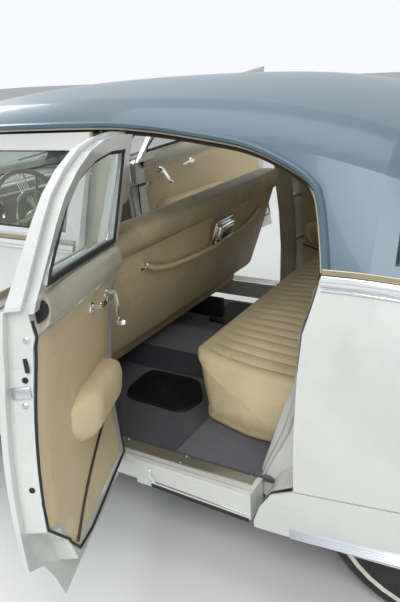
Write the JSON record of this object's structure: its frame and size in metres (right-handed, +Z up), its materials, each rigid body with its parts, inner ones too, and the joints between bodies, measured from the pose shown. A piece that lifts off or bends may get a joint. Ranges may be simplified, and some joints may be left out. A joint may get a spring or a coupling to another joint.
{
  "type": "four-door sedan car",
  "caption": "Full-size four-door sedan of about 1950 with a low floor, bench seats, opening doors, hood and trunk, steered front wheels and skirted rear wheels.",
  "frame": {"origin": "on the ground, on the centre plane, midway between the axles", "axes": "+X towards the nose, +Y to the car's left, +Z up"},
  "size_m": [5.31, 3.481, 1.5496],
  "materials": {
    "body_paint": "glossy pearl white",
    "roof_paint": "glossy steel blue",
    "chassis_paint": "satin black",
    "carpet": "cut pile",
    "trim_paint": "satin cream",
    "ivory_plastic": "glossy",
    "chrome": "polished",
    "glass": "clear",
    "leather": "soft grain",
    "cast_iron": "painted dark",
    "exhaust_steel": "dull",
    "lamp_glass": "clear",
    "red_lamp": "red",
    "tyre": "black rubber",
    "wheel_paint": "glossy"
  },
  "bodies": {
    "body": {"chassis_frame": "chassis_paint", "floor_pan": "carpet", "rockers": "body_paint", "cowl": "body_paint", "dashboard": "trim_paint", "steering_column": "ivory_plastic", "front_fender_left": "body_paint", "front_fender_right": "body_paint", "grille": "chrome", "bumpers": "chrome", "quarter_left": "body_paint", "quarter_right": "body_paint", "rear_skirts": "body_paint", "tail_panel": "body_paint", "rear_deck": "body_paint", "trunk_floor": "chassis_paint", "roof": "roof_paint", "b_pillars": "body_paint", "fixed_glass": "glass", "front_seat": "leather", "rear_seat": "leather", "engine_block": "cast_iron", "driveline": "chassis_paint", "front_suspension": "chassis_paint", "rear_axle": "chassis_paint", "exhaust": "exhaust_steel", "headlamps": "lamp_glass", "taillamps": "red_lamp"},
    "door_front_left": {"door_front_left": "body_paint", "glass_front_left": "glass"},
    "door_front_right": {"door_front_right": "body_paint", "glass_front_right": "glass"},
    "door_rear_left": {"door_rear_left": "body_paint", "glass_rear_left": "glass"},
    "door_rear_right": {"door_rear_right": "body_paint", "glass_rear_right": "glass"},
    "hood": {"hood": "body_paint"},
    "trunk_lid": {"trunk_lid": "body_paint"},
    "knuckle_left": {"knuckle_left": "chassis_paint"},
    "knuckle_right": {"knuckle_right": "chassis_paint"},
    "road_wheel_front_left": {"wheel_front_left": "wheel_paint", "tyre_front_left": "tyre"},
    "road_wheel_front_right": {"wheel_front_right": "wheel_paint", "tyre_front_right": "tyre"},
    "road_wheel_rear_left": {"wheel_rear_left": "wheel_paint", "tyre_rear_left": "tyre"},
    "road_wheel_rear_right": {"wheel_rear_right": "wheel_paint", "tyre_rear_right": "tyre"}
  },
  "joints": [
    {"name": "door_front_left_hinge", "type": "hinge", "parent": "body", "child": "door_front_left", "pos_m": [0.58, 0.957, 0.6], "axis": [0, 0.1478, -0.989], "range_deg": [0, 70]},
    {"name": "door_front_right_hinge", "type": "hinge", "parent": "body", "child": "door_front_right", "pos_m": [0.58, -0.957, 0.6], "axis": [0, 0.1478, 0.989], "range_deg": [-66, 4]},
    {"name": "door_rear_left_hinge", "type": "hinge", "parent": "body", "child": "door_rear_left", "pos_m": [-0.515, 0.957, 0.6], "axis": [0, 0.1478, -0.989], "range_deg": [-66, 4]},
    {"name": "door_rear_right_hinge", "type": "hinge", "parent": "body", "child": "door_rear_right", "pos_m": [-0.515, -0.957, 0.6], "axis": [0, 0.1478, 0.989], "range_deg": [0, 70]},
    {"name": "hood_hinge", "type": "hinge", "parent": "body", "child": "hood", "pos_m": [0.938, 0, 1.09], "axis": [0, -1, 0], "range_deg": [0, 48]},
    {"name": "trunk_lid_hinge", "type": "hinge", "parent": "body", "child": "trunk_lid", "pos_m": [-1.903, 0, 1.06], "axis": [0, 1, 0], "range_deg": [0, 55]},
    {"name": "steer_left", "type": "hinge", "parent": "body", "child": "knuckle_left", "pos_m": [1.575, 0.61, 0.365], "axis": [0, 0, 1], "range_deg": [-30, 30]},
    {"name": "steer_right", "type": "hinge", "parent": "body", "child": "knuckle_right", "pos_m": [1.575, -0.61, 0.365], "axis": [0, 0, 1], "range_deg": [-30, 30]},
    {"name": "wheel_front_left_spin", "type": "hinge", "parent": "knuckle_left", "child": "road_wheel_front_left", "pos_m": [1.575, 0.745, 0.365], "axis": [0, 1, 0], "continuous": true},
    {"name": "wheel_front_right_spin", "type": "hinge", "parent": "knuckle_right", "child": "road_wheel_front_right", "pos_m": [1.575, -0.745, 0.365], "axis": [0, 1, 0], "continuous": true},
    {"name": "wheel_rear_left_spin", "type": "hinge", "parent": "body", "child": "road_wheel_rear_left", "pos_m": [-1.575, 0.735, 0.365], "axis": [0, 1, 0], "continuous": true},
    {"name": "wheel_rear_right_spin", "type": "hinge", "parent": "body", "child": "road_wheel_rear_right", "pos_m": [-1.575, -0.735, 0.365], "axis": [0, 1, 0], "continuous": true}
  ],
  "couplings": [
    {"joint": "steer_right", "follows": "steer_left", "ratio": 1}
  ]
}
